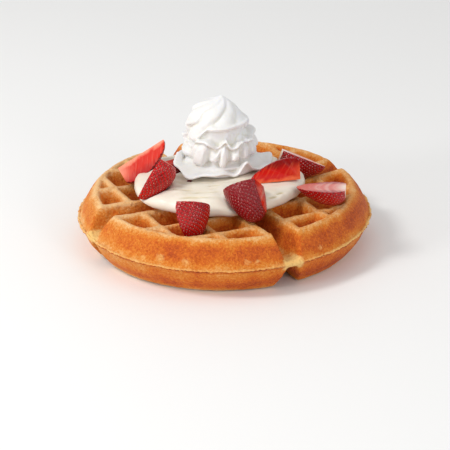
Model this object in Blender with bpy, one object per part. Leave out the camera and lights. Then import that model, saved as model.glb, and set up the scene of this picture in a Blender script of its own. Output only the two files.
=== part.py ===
"""A round deep-pocketed waffle with a pool of cream, a whipped-cream swirl and cut strawberries.

Lengths are in metres and +Z is up. The origin is on the surface that the waffle lies on, under
its middle.
"""

import functools
import math

import bmesh
import bpy
from mathutils import Matrix, Vector
from mathutils.bvhtree import BVHTree

# The waffle, as its iron forms it
SEAM_RADIUS = 0.090
RIM_RADIUS = 0.0802
SEAM_HEIGHT = 0.0169
CENTRE_TOP = 0.0297
DISH_RISE = 0.0047
SEAM_FIN = 0.0009
EDGE_ROUND = 0.0018
WALL_BULGE = 0.0012
WALL_STEPS = 84

# The lattice of ridges and pockets, and the two grooves that part it into quarters
LATTICE_TURN = math.radians(26.6)
RIDGE_WIDTH = 0.0036
FIRST_RIDGE = 0.0097
PITCH = 0.0242
POCKETS_ALONG = 3
WEB_HALF = 0.0025
GROOVE_WEB_HALF = 0.0018
GROOVE_FLARE = 0.0030
FLARE_START = 0.076
WALL_LEAN = 0.42
POCKET_RIM_RADIUS = 0.0772
RIDGE_CHAMFER = 0.0007
OVERSHOOT = 0.006

# Gaps that keep touching pieces apart
GAP = 0.0003
BERRY_GAP = 0.0008

# The pool of cream on the ridges
CREAM_CENTRE = Vector((-0.0042, -0.0010))
CREAM_HALF_X = 0.0524
CREAM_FRONT = 0.0470
CREAM_BACK = 0.0415
CREAM_SQUARENESS = 2.3
CREAM_THICK = 0.0140
CREAM_BELLY = 0.0050
CREAM_EDGE_ABOVE = 0.62
CREAM_EDGE_BELOW = 0.50
CREAM_FACES = (52, 20)

# The whipped-cream swirl on the pool
SWIRL_CENTRE = Vector((-0.0025, 0.0100))
SWIRL_TOP = 0.0890
SWIRL_LEAN = 0.0020
SWIRL_SIDEWAYS = 0.0034
SWIRL_TURN = math.radians(130)
SWIRL_FOOT_SHARE = 3 / 32
SWIRL_BED = 0.006
SWIRL_FACES = (70, 32)

# The fingers of cream that hang round the swirl: how wide they are and at which bearings, in degrees
FINGER_WIDTH = 5.5
FINGERS = (-129, -122, -100, -86, -67, -49, -30, -12, 8, 27, 45, 66, 84, 103, 120, 138)

# The petals round its top: the bearing of each one's first crease, how low it hangs, how much it swells
PETALS = (
    (15, 0.0280, 0.7), (60, 0.0262, 1.0), (110, 0.0252, 1.0), (172, 0.0206, 1.2),
    (218, 0.0290, 1.0), (268, 0.0296, 0.5), (318, 0.0272, 0.7),
)
PETAL_OVERLAP = 0.7
PETAL_STEP = 0.16

# A strawberry: how it narrows from its shoulder to its tip, and how round its ends are
BERRY_TAPER = 0.36
BERRY_ROUNDNESS = 0.82
BERRY_FACES = (20, 12)


def clear_scene():
    for leftover in list(bpy.data.objects):
        bpy.data.objects.remove(leftover, do_unlink=True)


def material(name, colour, roughness):
    finish = bpy.data.materials.new(name)
    finish.use_nodes = True
    shader = finish.node_tree.nodes["Principled BSDF"]
    shader.inputs["Base Color"].default_value = (*colour, 1.0)
    shader.inputs["Roughness"].default_value = roughness
    shader.inputs["Metallic"].default_value = 0.0
    return finish


def new_object(name, shape, finish=None):
    """Turns a bmesh into an object whose faces point outwards."""
    bmesh.ops.recalc_face_normals(shape, faces=shape.faces)
    mesh = bpy.data.meshes.new(name)
    shape.to_mesh(mesh)
    shape.free()
    if finish:
        mesh.materials.append(finish)
    piece = bpy.data.objects.new(name, mesh)
    bpy.context.scene.collection.objects.link(piece)
    return piece


def as_cutter(piece):
    piece.hide_render = True
    piece.display_type = "WIRE"
    return piece


def combine(piece, other, operation):
    joint = piece.modifiers.new(f"{operation} {other.name}", "BOOLEAN")
    joint.operation = operation
    joint.object = other


def ridge_top(radius):
    """Height of the ridges: the waffle is dished, so its rim stands higher than its middle."""
    return CENTRE_TOP + DISH_RISE * (radius / SEAM_RADIUS) ** 2


def lattice_to_world(along, across):
    turned = Matrix.Rotation(LATTICE_TURN, 2) @ Vector((along, across))
    return turned.x, turned.y


def waffle_outline():
    """Half the waffle's section, from the middle of its underside round the seam to that of its top."""
    fin_root = SEAM_RADIUS - SEAM_FIN
    rim_top = ridge_top(RIM_RADIUS)
    outline = [
        (0.0, 0.0),
        (RIM_RADIUS - EDGE_ROUND, 0.0),
        (RIM_RADIUS, EDGE_ROUND * 0.6),
        (RIM_RADIUS + EDGE_ROUND * 1.1, EDGE_ROUND * 2),
        ((RIM_RADIUS + fin_root) / 2 + WALL_BULGE, SEAM_HEIGHT / 2),
        (fin_root, SEAM_HEIGHT - SEAM_FIN * 0.7),
        (SEAM_RADIUS, SEAM_HEIGHT - SEAM_FIN * 0.3),
        (SEAM_RADIUS, SEAM_HEIGHT + SEAM_FIN * 0.3),
        (fin_root, SEAM_HEIGHT + SEAM_FIN * 0.9),
        ((RIM_RADIUS + fin_root) / 2 + WALL_BULGE, (SEAM_HEIGHT + rim_top) / 2),
        (RIM_RADIUS + EDGE_ROUND * 1.1, rim_top - EDGE_ROUND * 1.7),
        (RIM_RADIUS, rim_top - EDGE_ROUND * 0.5),
        (RIM_RADIUS - EDGE_ROUND * 0.8, rim_top),
    ]
    outline += [(radius, ridge_top(radius)) for radius in (0.066, 0.044, 0.022, 0.0)]
    return outline


def turned_body(name, outline, steps, finish=None):
    shape = bmesh.new()
    points = [shape.verts.new((radius, 0.0, height)) for radius, height in outline]
    edges = [shape.edges.new(pair) for pair in zip(points, points[1:])]
    around = {"cent": (0, 0, 0), "axis": (0, 0, 1), "angle": math.tau}
    bmesh.ops.spin(shape, geom=points + edges, steps=steps, use_merge=True, **around)
    bmesh.ops.remove_doubles(shape, verts=shape.verts, dist=0.00001)
    return new_object(name, shape, finish)


def square_tower(shape, centre, levels):
    """A square plug turned with the lattice, through (height, half width) levels, lowest first."""
    sections = []
    for height, half in levels:
        ring = []
        for along, across in ((-half, -half), (half, -half), (half, half), (-half, half)):
            x, y = lattice_to_world(centre[0] + along, centre[1] + across)
            ring.append(shape.verts.new((x, y, height)))
        sections.append(ring)
    edges = [
        [shape.edges.new((ring[k], ring[(k + 1) % 4])) for k in range(4)]
        for ring in sections
    ]
    for lower, upper in zip(edges, edges[1:]):
        bmesh.ops.bridge_loops(shape, edges=lower + upper)
    shape.faces.new(sections[0])
    shape.faces.new(sections[-1])


def pocket_centres():
    """Middles of the pockets in lattice coordinates, three along each groove, fewer by the rim."""
    for side_along in (-1, 1):
        for side_across in (-1, 1):
            for i in range(POCKETS_ALONG):
                for j in range(POCKETS_ALONG):
                    if i + j <= POCKETS_ALONG:
                        reach = FIRST_RIDGE + PITCH * (i + 0.5)
                        width = FIRST_RIDGE + PITCH * (j + 0.5)
                        yield side_along * reach, side_across * width


def pocket_levels(centre, upward):
    """Levels of one pocket's plug, from its floor out past the ridges, which it chamfers a little."""
    mouth = PITCH / 2 - RIDGE_WIDTH / 2
    if upward:
        floor = SEAM_HEIGHT + WEB_HALF
        face = ridge_top(min(math.hypot(*centre), RIM_RADIUS))
        side = 1
    else:
        floor = SEAM_HEIGHT - WEB_HALF
        face = 0.0
        side = -1
    depth = abs(face - floor)
    shoulder = face - side * RIDGE_CHAMFER * 2
    levels = [
        (floor, mouth - WALL_LEAN * depth),
        (shoulder, mouth - WALL_LEAN * RIDGE_CHAMFER * 2),
        (face, mouth + RIDGE_CHAMFER),
        (face + side * OVERSHOOT, mouth + RIDGE_CHAMFER + OVERSHOOT / 10),
    ]
    return levels if upward else levels[::-1]


def pocket_cutter(upward):
    """All the pockets of one face, kept inside the sloping inner side of the rim."""
    name = "pockets_above" if upward else "pockets_below"
    shape = bmesh.new()
    for centre in pocket_centres():
        square_tower(shape, centre, pocket_levels(centre, upward))
    plugs = as_cutter(new_object(name, shape))
    if upward:
        rim_top = ridge_top(RIM_RADIUS)
        low = (POCKET_RIM_RADIUS - WALL_LEAN * (rim_top - SEAM_HEIGHT), SEAM_HEIGHT)
        high = (POCKET_RIM_RADIUS + WALL_LEAN * OVERSHOOT * 2, rim_top + OVERSHOOT * 2)
    else:
        low = (POCKET_RIM_RADIUS + WALL_LEAN * OVERSHOOT * 2, -OVERSHOOT * 2)
        high = (POCKET_RIM_RADIUS - WALL_LEAN * SEAM_HEIGHT, SEAM_HEIGHT)
    outline = [(0.0, low[1]), low, high, (0.0, high[1])]
    inside_rim = as_cutter(turned_body(f"{name}_inside_rim", outline, WALL_STEPS))
    combine(plugs, inside_rim, "INTERSECT")
    return plugs


def groove_cutter(name, turn, upward):
    """One straight trench across the waffle, with a narrow floor, leaning sides and open ends."""
    mouth = FIRST_RIDGE - RIDGE_WIDTH / 2
    reach = SEAM_RADIUS + OVERSHOOT
    side = 1 if upward else -1
    floor = SEAM_HEIGHT + side * GROOVE_WEB_HALF
    face = ridge_top(RIM_RADIUS) if upward else 0.0
    over = face + side * OVERSHOOT
    narrow = mouth - WALL_LEAN * abs(ridge_top(RIM_RADIUS / 2) - floor if upward else floor)
    shape = bmesh.new()
    sections = []
    widening = {-reach: GROOVE_FLARE, -FLARE_START: 0.0, FLARE_START: 0.0, reach: GROOVE_FLARE}
    for along, wider in widening.items():
        foot = narrow + wider
        lip = mouth + wider
        outline = [(-foot, floor), (foot, floor), (lip, face), (lip, over), (-lip, over), (-lip, face)]
        sections.append([shape.verts.new((along, across, height)) for across, height in outline])
    for near, far in zip(sections, sections[1:]):
        for k in range(len(near)):
            after = (k + 1) % len(near)
            shape.faces.new((near[k], near[after], far[after], far[k]))
    shape.faces.new(sections[0])
    shape.faces.new(sections[-1])
    turned = Matrix.Rotation(LATTICE_TURN + turn, 3, "Z")
    bmesh.ops.rotate(shape, verts=shape.verts, cent=(0, 0, 0), matrix=turned)
    return as_cutter(new_object(name, shape))


def make_waffle():
    baked = material("baked_batter", (0.72, 0.33, 0.10), 0.62)
    waffle = turned_body("waffle", waffle_outline(), WALL_STEPS, baked)
    for upward in (True, False):
        combine(waffle, pocket_cutter(upward), "DIFFERENCE")
        for number, turn in enumerate((0.0, math.pi / 2)):
            name = f"groove_{'above' if upward else 'below'}_{number}"
            combine(waffle, groove_cutter(name, turn, upward), "DIFFERENCE")
    return waffle


def cream_reach(bearing):
    """How far the pool spreads from its own middle, as an uneven rounded patch."""
    across = abs(math.cos(bearing) / CREAM_HALF_X) ** CREAM_SQUARENESS
    deep = abs(math.sin(bearing) / (CREAM_BACK if bearing > 0 else CREAM_FRONT)) ** CREAM_SQUARENESS
    plain = (across + deep) ** (-1 / CREAM_SQUARENESS)
    return plain * (1 + 0.022 * math.sin(3 * bearing + 0.6) + 0.014 * math.sin(5 * bearing + 2.2))


def cream_surface(bearing, slope):
    """A point of the pool's skin: slope runs from 0 at the top middle to pi under the middle."""
    edge = CREAM_EDGE_ABOVE if slope < math.pi / 2 else CREAM_EDGE_BELOW
    reach = cream_reach(bearing) * math.sin(slope) ** edge
    x = CREAM_CENTRE.x + reach * math.cos(bearing)
    y = CREAM_CENTRE.y + reach * math.sin(bearing)
    rest = ridge_top(math.hypot(x, y)) + GAP * 1.5
    lift = math.cos(slope)
    if lift > 0:
        height = rest + CREAM_BELLY + (CREAM_THICK - CREAM_BELLY) * lift ** 0.75
    else:
        height = rest + CREAM_BELLY * (1 - (-lift) ** 0.6)
    return Vector((x, y, height))


def shaped_ball(place, faces):
    """A ball of so many faces around and down, whose points are moved to place(bearing, slope)."""
    shape = bmesh.new()
    bmesh.ops.create_uvsphere(shape, u_segments=faces[0], v_segments=faces[1], radius=1.0)
    for point in shape.verts:
        slope = math.acos(max(-1.0, min(1.0, point.co.z)))
        point.co = place(math.atan2(point.co.y, point.co.x), slope)
    return shape


def cream_top(x, y):
    """Height of the pool's upper skin at a point, from how near it lies to the pool's edge."""
    bearing = math.atan2(y - CREAM_CENTRE.y, x - CREAM_CENTRE.x)
    share = min(1.0, math.hypot(x - CREAM_CENTRE.x, y - CREAM_CENTRE.y) / cream_reach(bearing))
    return cream_surface(bearing, math.asin(share ** (1 / CREAM_EDGE_ABOVE))).z


def bulge(bearing, middle, width):
    """1 at one bearing, given in degrees, and less the further round from it, by widths."""
    away = (math.degrees(bearing) - middle + 180) % 360 - 180
    return math.exp(-(away / width) ** 2)


def finger(bearing):
    """From -1 between two fingers to 1 along the blunt middle of one."""
    nearest = max(bulge(bearing, middle, FINGER_WIDTH) for middle in FINGERS)
    return 2 * min(1.0, 1.5 * nearest) ** 0.8 - 1


def petal(bearing):
    """The height that the petal at this bearing hangs down to, and its swell from -1 to 1.

    Each petal swells quickly from its first crease and ends a little proud of the next one.
    """
    degrees = math.degrees(bearing) % 360
    number = sum(fold[0] <= degrees for fold in PETALS) - 1
    start, hang, depth = PETALS[number]
    after_start, after_hang, _ = PETALS[(number + 1) % len(PETALS)]
    share = (degrees - start) % 360 / ((after_start - start) % 360)
    swell = 2 * math.sin(math.pi * share) ** 0.5 - 1 + PETAL_OVERLAP * (share - 0.5)
    step = min(1.0, (1 - share) / PETAL_STEP)
    hang = after_hang + (hang - after_hang) * step * step * (3 - 2 * step)
    return hang, 0.4 + depth * (swell - 0.4)


@functools.lru_cache(maxsize=None)
def swirl_stations(bearing):
    """The swirl's outline at one bearing, as (radius, height) from its foot to its tip."""
    edge = 0.0296 + 0.0034 * math.cos(3 * bearing + 0.52) + 0.0007 * math.sin(11 * bearing)
    curl = 0.0018 + 0.0011 * math.sin(7 * bearing + 0.9) + 0.0007 * math.sin(12 * bearing)
    curl += 0.0042 * bulge(bearing, -54, 7) + 0.0040 * bulge(bearing, 183, 16)
    hang, swell = petal(bearing)
    curtain = finger(bearing)
    brim = 0.0202 + 0.0008 * math.sin(4 * bearing) + 0.0024 * bulge(bearing, -126, 12)
    brim += 0.0020 * bulge(bearing, -92, 5) - 0.0014 * bulge(bearing, -102, 6)
    brim -= 0.0034 * bulge(bearing, -74, 9)
    brim = min(brim, hang - 0.0040)
    plain = bulge(bearing, -172, 34)
    curtain -= 0.7 * plain
    flare = 0.0007 * math.sin(9 * bearing + 1.0) + 0.0008 * math.sin(5 * bearing) - 0.0018 * plain
    return [
        (0.0240, 0.0000),
        (edge - 0.0030, 0.0002 + 0.8 * curl),
        (edge - 0.0006, 0.0003 + curl),
        (edge, 0.0010 + curl),
        (edge - 0.0010, 0.0018 + curl),
        (edge - 0.0046, 0.0028 + 0.6 * curl),
        (0.0232, 0.0052),
        (0.0196, 0.0066),
        (0.0190 + 0.0008 * curtain, 0.0076 - 0.0006 * curtain),
        (0.0210 + 0.0020 * curtain, 0.0078 - 0.0014 * curtain),
        (0.0222 + 0.0024 * curtain, 0.0094 - 0.0012 * curtain),
        (0.0222 + 0.0022 * curtain, 0.0120),
        (0.0212 + 0.0016 * curtain, brim - 0.0044),
        (0.0192 + 0.0006 * curtain, brim - 0.0022),
        (0.0200 + flare, brim - 0.0015),
        (0.0222 + flare, brim - 0.0010),
        (0.0224 + flare, brim),
        (0.0204 + flare, brim + 0.0005),
        (0.0172, brim + 0.0012),
        (0.0160, hang - 0.0020),
        (0.0176 + 0.0004 * swell, hang - 0.0016),
        (0.0190 + 0.0007 * swell, hang - 0.0004),
        (0.0190 + 0.0010 * swell, hang + 0.0012),
        (0.0168 + 0.0013 * swell, 0.5 * hang + 0.0166),
        (0.0146 + 0.0013 * swell, 0.0340),
        (0.0122 + 0.0013 * swell, 0.0370),
        (0.0092 + 0.0011 * swell, 0.0397),
        (0.0058 + 0.0009 * swell, 0.0418),
        (0.0026 + 0.0004 * swell, 0.0434),
        (0.0007, 0.0442),
    ]


def swirl_surface(bearing, slope):
    """A point of the swirl's skin: slope runs from 0 at the tip to pi under the foot."""
    stations = swirl_stations(round(bearing, 5))
    share = 1 - slope / math.pi
    base = cream_top(*SWIRL_CENTRE)
    radius, lift = stations[0]
    if share < SWIRL_FOOT_SHARE:
        radius *= share / SWIRL_FOOT_SHARE
    else:
        position = (share - SWIRL_FOOT_SHARE) / (1 - SWIRL_FOOT_SHARE) * (len(stations) - 1)
        step = min(int(position), len(stations) - 2)
        here, after = Vector(stations[step]), Vector(stations[step + 1])
        radius, lift = here.lerp(after, position - step)
    if slope < 0.0001:
        radius, lift = 0.0, SWIRL_TOP - base
    rise = lift / (SWIRL_TOP - base)
    sideways = SWIRL_LEAN * rise ** 3 - SWIRL_SIDEWAYS * math.sin(math.pi * min(1.0, rise) ** 4)
    turn = bearing + SWIRL_TURN * rise ** 3
    x = SWIRL_CENTRE.x + sideways + radius * math.cos(turn)
    y = SWIRL_CENTRE.y + radius * math.sin(turn)
    bedded = max(0.0, 1 - lift / SWIRL_BED)
    foot = cream_top(x, y) * bedded + base * (1 - bedded)
    return Vector((x, y, foot + GAP * 2 + lift))


def berry_surface(bearing, slope):
    """A point of a whole berry of length 2 and radius 1 along X: slope 0 is its tip."""
    reach = math.cos(slope)
    widest = 1 + BERRY_TAPER ** 2 / 2
    width = math.sin(slope) ** BERRY_ROUNDNESS * (1 - BERRY_TAPER * reach) / widest
    return Vector((reach, width * math.cos(bearing), width * math.sin(bearing)))


def cut_flat(shape, point, outward):
    """Cuts a closed shape by a plane, drops the side that outward points to, and closes the cut."""
    parts = shape.verts[:] + shape.edges[:] + shape.faces[:]
    cut = bmesh.ops.bisect_plane(
        shape, geom=parts, plane_co=point, plane_no=outward, clear_outer=True
    )
    edges = [item for item in cut["geom_cut"] if isinstance(item, bmesh.types.BMEdge)]
    bmesh.ops.edgeloop_fill(shape, edges=edges)


def berry_frame(tip, face):
    """Turn that lays the berry's tip along one direction and its first cut face towards another."""
    tip = Vector(tip).normalized()
    face = (Vector(face) - Vector(face).dot(tip) * tip).normalized()
    return Matrix((tip, face.cross(tip), face)).transposed().to_4x4()


def berry_shape(length, radius, cuts):
    shape = shaped_ball(berry_surface, BERRY_FACES)
    bmesh.ops.scale(shape, vec=(length / 2, radius, radius), verts=shape.verts)
    for along, across, outward in cuts:
        cut_flat(shape, (along * length, 0, across * radius), outward)
    return shape


def hulled(along=-0.43, lean=0.0):
    """The cut that took the leaves off, across the berry near its shoulder."""
    return along, 0, (-math.cos(lean), -math.sin(lean), 0)


def halved(across=0.0):
    """A lengthwise cut, through the core or to one side of it."""
    return 0, across, (0, 0, 1)


def wedged(angle):
    """A second lengthwise cut through the core, which leaves a wedge of this angle."""
    return 0, 0, (0, math.sin(angle), -math.cos(angle))


# Each cut piece: its berry's middle, where the tip and the first cut face point, length, radius, cuts
BERRIES = {
    "strawberry_1": (
        (-0.0525, 0.0135, 0.0460), (0.82, 0.16, 0.48), (-0.20, -0.66, 0.72), 0.0360, 0.0145,
        [hulled(-0.42), halved(), wedged(1.70)],
    ),
    "strawberry_2": (
        (-0.0436, -0.0225, 0.0492), (-0.54, -0.30, -0.77), (-0.80, 0.30, 0.48), 0.0292, 0.0122,
        [hulled(), halved()],
    ),
    "strawberry_3": (
        (-0.0214, -0.0590, 0.0350), (0.14, -0.24, -0.96), (-0.88, 0.38, -0.25), 0.0300, 0.0136,
        [hulled(-0.24, 0.38), halved()],
    ),
    "strawberry_4": (
        (0.0150, -0.0460, 0.0400), (0.20, -0.58, -0.79), (0.95, -0.24, 0.05), 0.0320, 0.0145,
        [hulled(-0.20), halved(0.50)],
    ),
    "strawberry_5": (
        (0.0336, -0.0172, 0.0434), (-0.95, -0.28, 0.02), (0.27, -0.92, 0.22), 0.0370, 0.0136,
        [hulled(-0.36), halved(), wedged(1.45)],
    ),
    "strawberry_6": (
        (0.0490, 0.0218, 0.0420), (0.90, -0.10, -0.36), (0.25, 0.30, 0.92), 0.0305, 0.0140,
        [hulled(), halved()],
    ),
    "strawberry_7": (
        (0.0588, -0.0270, 0.0375), (-0.98, 0.10, -0.02), (-0.02, 0.16, 0.98), 0.0325, 0.0142,
        [hulled(), halved(-0.25)],
    ),
    "strawberry_8": (
        (-0.0366, 0.0040, 0.0416), (-0.40, 0.10, -0.90), (-0.70, 0.55, 0.30), 0.0220, 0.0090,
        [hulled(), halved()],
    ),
}
ON_WAFFLE = ("strawberry_1", "strawberry_3", "strawberry_4", "strawberry_6", "strawberry_7")


def make_berry(name, finish):
    middle, tip, face, length, radius, cuts = BERRIES[name]
    shape = berry_shape(length, radius, cuts)
    place = Matrix.Translation(middle) @ berry_frame(tip, face)
    bmesh.ops.transform(shape, matrix=place, verts=shape.verts)
    return new_object(name, shape, finish)


def gap_below(upper, lower, graph):
    """Smallest free height between two pieces, over each other's corners."""
    down, up = Vector((0, 0, -1)), Vector((0, 0, 1))
    floor = BVHTree.FromObject(lower, graph)
    ceiling = BVHTree.FromObject(upper, graph)
    reach = 1.0
    gaps = []
    for point in upper.evaluated_get(graph).data.vertices:
        hit = floor.ray_cast(point.co + up * reach, down)
        if hit[0] and point.co.z > SEAM_HEIGHT / 2:
            gaps.append(point.co.z - hit[0].z)
    for point in lower.evaluated_get(graph).data.vertices:
        hit = ceiling.ray_cast(point.co - up * reach, up)
        if hit[0]:
            gaps.append(hit[0].z - point.co.z)
    return min(gaps)


def settle(piece, support):
    """Lowers or lifts a piece until it just clears what it lies on."""
    graph = bpy.context.evaluated_depsgraph_get()
    fall = gap_below(piece, support, graph) - BERRY_GAP
    piece.data.transform(Matrix.Translation((0, 0, -fall)))
    print(piece.name, "moved by", round(-fall * 1000, 2), "mm")


def room_for(piece):
    """A slightly swollen copy of a piece, which cuts its bed in the cream."""
    shape = bmesh.new()
    shape.from_mesh(piece.data)
    shape.normal_update()
    for point in shape.verts:
        point.co += point.normal * BERRY_GAP
    return as_cutter(new_object(f"room_for_{piece.name}", shape))


def smooth_shaded(piece):
    piece.data.shade_smooth()
    piece.data.set_sharp_from_angle(angle=math.radians(40))


def main():
    clear_scene()
    waffle = make_waffle()
    soft_cream = material("cream", (0.86, 0.81, 0.72), 0.35)
    cream = new_object("cream", shaped_ball(cream_surface, CREAM_FACES), soft_cream)
    whipped = material("whipped_cream", (0.90, 0.90, 0.90), 0.45)
    swirl = new_object("whipped_cream", shaped_ball(swirl_surface, SWIRL_FACES), whipped)
    berry_red = material("strawberry", (0.55, 0.02, 0.02), 0.30)
    for name in BERRIES:
        berry = make_berry(name, berry_red)
        if name in ON_WAFFLE:
            settle(berry, waffle)
        room = room_for(berry)
        combine(cream, room, "DIFFERENCE")
        combine(swirl, room, "DIFFERENCE")
        smooth_shaded(berry)
    smooth_shaded(cream)
    smooth_shaded(swirl)


main()
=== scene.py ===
# %% [markdown]
# # A waffle under cream and strawberries
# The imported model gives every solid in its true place. This lesson dresses it: the waffle gets its
# crumb, its ragged seam and its browning, the cream its soft skin, the swirl its folds, and each
# piece of strawberry its dimples, seeds and streaked flesh. Lengths are in metres and +Z is up.

import functools
import math
import random
from types import SimpleNamespace

import bmesh
import bpy
import numpy as np
from mathutils import Matrix, Vector, noise
from mathutils.kdtree import KDTree


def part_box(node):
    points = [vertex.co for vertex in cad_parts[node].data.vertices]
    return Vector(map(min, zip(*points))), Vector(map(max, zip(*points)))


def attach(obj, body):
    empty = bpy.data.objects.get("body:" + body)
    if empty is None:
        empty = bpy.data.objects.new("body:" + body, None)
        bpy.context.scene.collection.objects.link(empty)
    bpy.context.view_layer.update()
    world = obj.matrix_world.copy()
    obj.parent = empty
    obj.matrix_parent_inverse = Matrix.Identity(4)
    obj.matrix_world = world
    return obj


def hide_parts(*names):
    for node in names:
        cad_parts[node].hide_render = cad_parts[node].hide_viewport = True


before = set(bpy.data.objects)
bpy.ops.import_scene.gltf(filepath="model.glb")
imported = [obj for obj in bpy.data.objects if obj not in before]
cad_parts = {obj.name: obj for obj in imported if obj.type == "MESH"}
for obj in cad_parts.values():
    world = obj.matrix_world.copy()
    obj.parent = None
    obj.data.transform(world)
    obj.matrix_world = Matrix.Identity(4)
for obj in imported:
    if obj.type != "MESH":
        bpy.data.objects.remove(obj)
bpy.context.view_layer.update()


# %% [markdown]
# ## The view
# The camera stands where the photograph was taken from: far off with a long lens, about 24 degrees
# above the table and turned by less than a degree. Its matrix holds the three directions of the
# picture, so nothing has to be aimed by eye.

# %% Place the camera
CAMERA_SPOT = (0.000230, -1.102308, 0.491231)
PICTURE_RIGHT = (0.999901, -0.005645, -0.012866)
PICTURE_UP = (0.014049, 0.401748, 0.915642)
PICTURE_FORWARD = (0.0, 0.915733, -0.401788)
LENS_MM = 155.35


def camera_matrix():
    backward = [-value for value in PICTURE_FORWARD]
    turned = Matrix((PICTURE_RIGHT, PICTURE_UP, backward)).transposed().to_4x4()
    return Matrix.Translation(CAMERA_SPOT) @ turned


lens = bpy.data.cameras.new("camera")
lens.lens = LENS_MM
lens.sensor_width = 36
camera = bpy.data.objects.new("camera", lens)
camera.matrix_world = camera_matrix()
bpy.context.scene.collection.objects.link(camera)
bpy.context.scene.camera = camera
print("camera at", CAMERA_SPOT)

# %% [markdown]
# ## The studio
# A white table, a big soft lamp high on the left, a weaker one on the right, a low one on the left
# whose reflection makes the wet skins glint, and a bright room all round: that is how food is lit.
# The colours are shown as they are, with no film look, because the photograph is bright and clear too.

# %% Lay the table and hang the lamps
LAMP_AIM = (0, 0, 0.03)
TABLE_HALF_SIDE = 4.0
TABLE_GAP = 0.0004


def srgb(code):
    """A colour written as a hexadecimal code, as the linear values that shaders take."""
    parts = [int(code[place:place + 2], 16) / 255 for place in (1, 3, 5)]
    linear = [part / 12.92 if part <= 0.04045 else ((part + 0.055) / 1.055) ** 2.4 for part in parts]
    return (*linear, 1.0)


def set_inputs(node, values):
    """Sets a node's inputs, given as a name and a plain value each."""
    for name, value in values.items():
        node.inputs[name].default_value = value


def lamp(name, place, side, power, colour=(1.0, 1.0, 1.0)):
    """Hangs a round soft lamp, aimed at the middle of the food."""
    glow = bpy.data.lights.new(name, "AREA")
    glow.shape = "DISK"
    glow.size = side
    glow.energy = power
    glow.color = colour
    holder = bpy.data.objects.new(name, glow)
    holder.location = place
    direction = Vector(LAMP_AIM) - Vector(place)
    holder.rotation_euler = direction.to_track_quat("-Z", "Y").to_euler()
    bpy.context.scene.collection.objects.link(holder)


def lay_table():
    shape = bmesh.new()
    bmesh.ops.create_grid(shape, x_segments=1, y_segments=1, size=TABLE_HALF_SIDE)
    mesh = bpy.data.meshes.new("table")
    shape.to_mesh(mesh)
    shape.free()
    paint = bpy.data.materials.new("table_white")
    paint.use_nodes = True
    set_inputs(paint.node_tree.nodes["Principled BSDF"], {
        "Base Color": (0.88, 0.88, 0.875, 1.0),
        "Roughness": 0.55,
    })
    mesh.materials.append(paint)
    table = bpy.data.objects.new("table", mesh)
    table.location.z = -TABLE_GAP
    bpy.context.scene.collection.objects.link(table)


def light_room(strength):
    world = bpy.data.worlds.new("room")
    world.use_nodes = True
    set_inputs(world.node_tree.nodes["Background"], {
        "Color": (1.0, 1.0, 1.0, 1.0),
        "Strength": strength,
    })
    bpy.context.scene.world = world


lay_table()
light_room(0.66)
lamp("key_lamp", place=(-0.75, -0.25, 0.95), side=0.34, power=5.9, colour=(1.0, 0.985, 0.96))
lamp("fill_lamp", place=(0.75, -1.18, 0.54), side=0.42, power=3.6)
lamp("glint_lamp", place=(-1.05, -0.67, 0.44), side=0.30, power=4.0)
bpy.context.scene.view_settings.view_transform = "Standard"
print("three lamps and a bright room")

# %% [markdown]
# ## Small tools
# A bmesh becomes an object whose faces point outwards. Food is soft, so copies of the solids are
# rebuilt as an even net of small squares, which is then smoothed and pushed in and out.

# %% Helpers for meshes
MERGE_DISTANCE = 0.000005


def finished(name, shape, paints):
    """Turns a bmesh into an object with its materials."""
    bmesh.ops.recalc_face_normals(shape, faces=shape.faces)
    mesh = bpy.data.meshes.new(name)
    shape.to_mesh(mesh)
    shape.free()
    for paint in paints:
        mesh.materials.append(paint)
    piece = bpy.data.objects.new(name, mesh)
    bpy.context.scene.collection.objects.link(piece)
    mesh.shade_smooth()
    return piece


def copy_of_node(node):
    """A bmesh of a solid of the model, with its loose triangles merged."""
    shape = bmesh.new()
    shape.from_mesh(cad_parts[node].data)
    bmesh.ops.remove_doubles(shape, verts=shape.verts, dist=MERGE_DISTANCE)
    return shape


def rebuild_evenly(piece, cell):
    """Gives the piece an even net of squares of this size."""
    net = piece.modifiers.new("net", "REMESH")
    net.mode = "VOXEL"
    net.voxel_size = cell
    net.use_smooth_shade = True
    settle_modifiers(piece)


def thin_out(piece, most):
    """Merges triangles where the surface is plainest, until only so many are left."""
    count = sum(len(face.vertices) - 2 for face in piece.data.polygons)
    fewer = piece.modifiers.new("fewer", "DECIMATE")
    fewer.ratio = most / count
    settle_modifiers(piece)
    piece.data.shade_smooth()


def settle_modifiers(piece):
    """Makes what the modifiers show the piece's own mesh."""
    graph = bpy.context.evaluated_depsgraph_get()
    made = bpy.data.meshes.new_from_object(piece.evaluated_get(graph))
    piece.modifiers.clear()
    paints = list(piece.data.materials)
    piece.data = made
    if not made.materials:
        for paint in paints:
            made.materials.append(paint)


def soften(piece, rounds):
    """Moves each point halfway to the middle of its neighbours, so many times."""
    shape = bmesh.new()
    shape.from_mesh(piece.data)
    for _ in range(rounds):
        bmesh.ops.smooth_vert(
            shape, verts=shape.verts, factor=0.5, use_axis_x=True, use_axis_y=True, use_axis_z=True
        )
    shape.to_mesh(piece.data)
    shape.free()


def points_of(piece):
    """The places of the piece's points, one row for each."""
    flat = np.empty(len(piece.data.vertices) * 3)
    piece.data.vertices.foreach_get("co", flat)
    return flat.reshape(-1, 3)


def normals_of(piece):
    """The outward directions at the piece's points, one row for each."""
    flat = np.empty(len(piece.data.vertices) * 3)
    piece.data.vertex_normals.foreach_get("vector", flat)
    return flat.reshape(-1, 3)


def soft_piece(name, shape, paint, cell, rounds):
    """An object rebuilt as an even net and softened, with its points and their normals."""
    piece = finished(name, shape, [paint])
    rebuild_evenly(piece, cell)
    soften(piece, rounds)
    return piece, points_of(piece), normals_of(piece)


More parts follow.
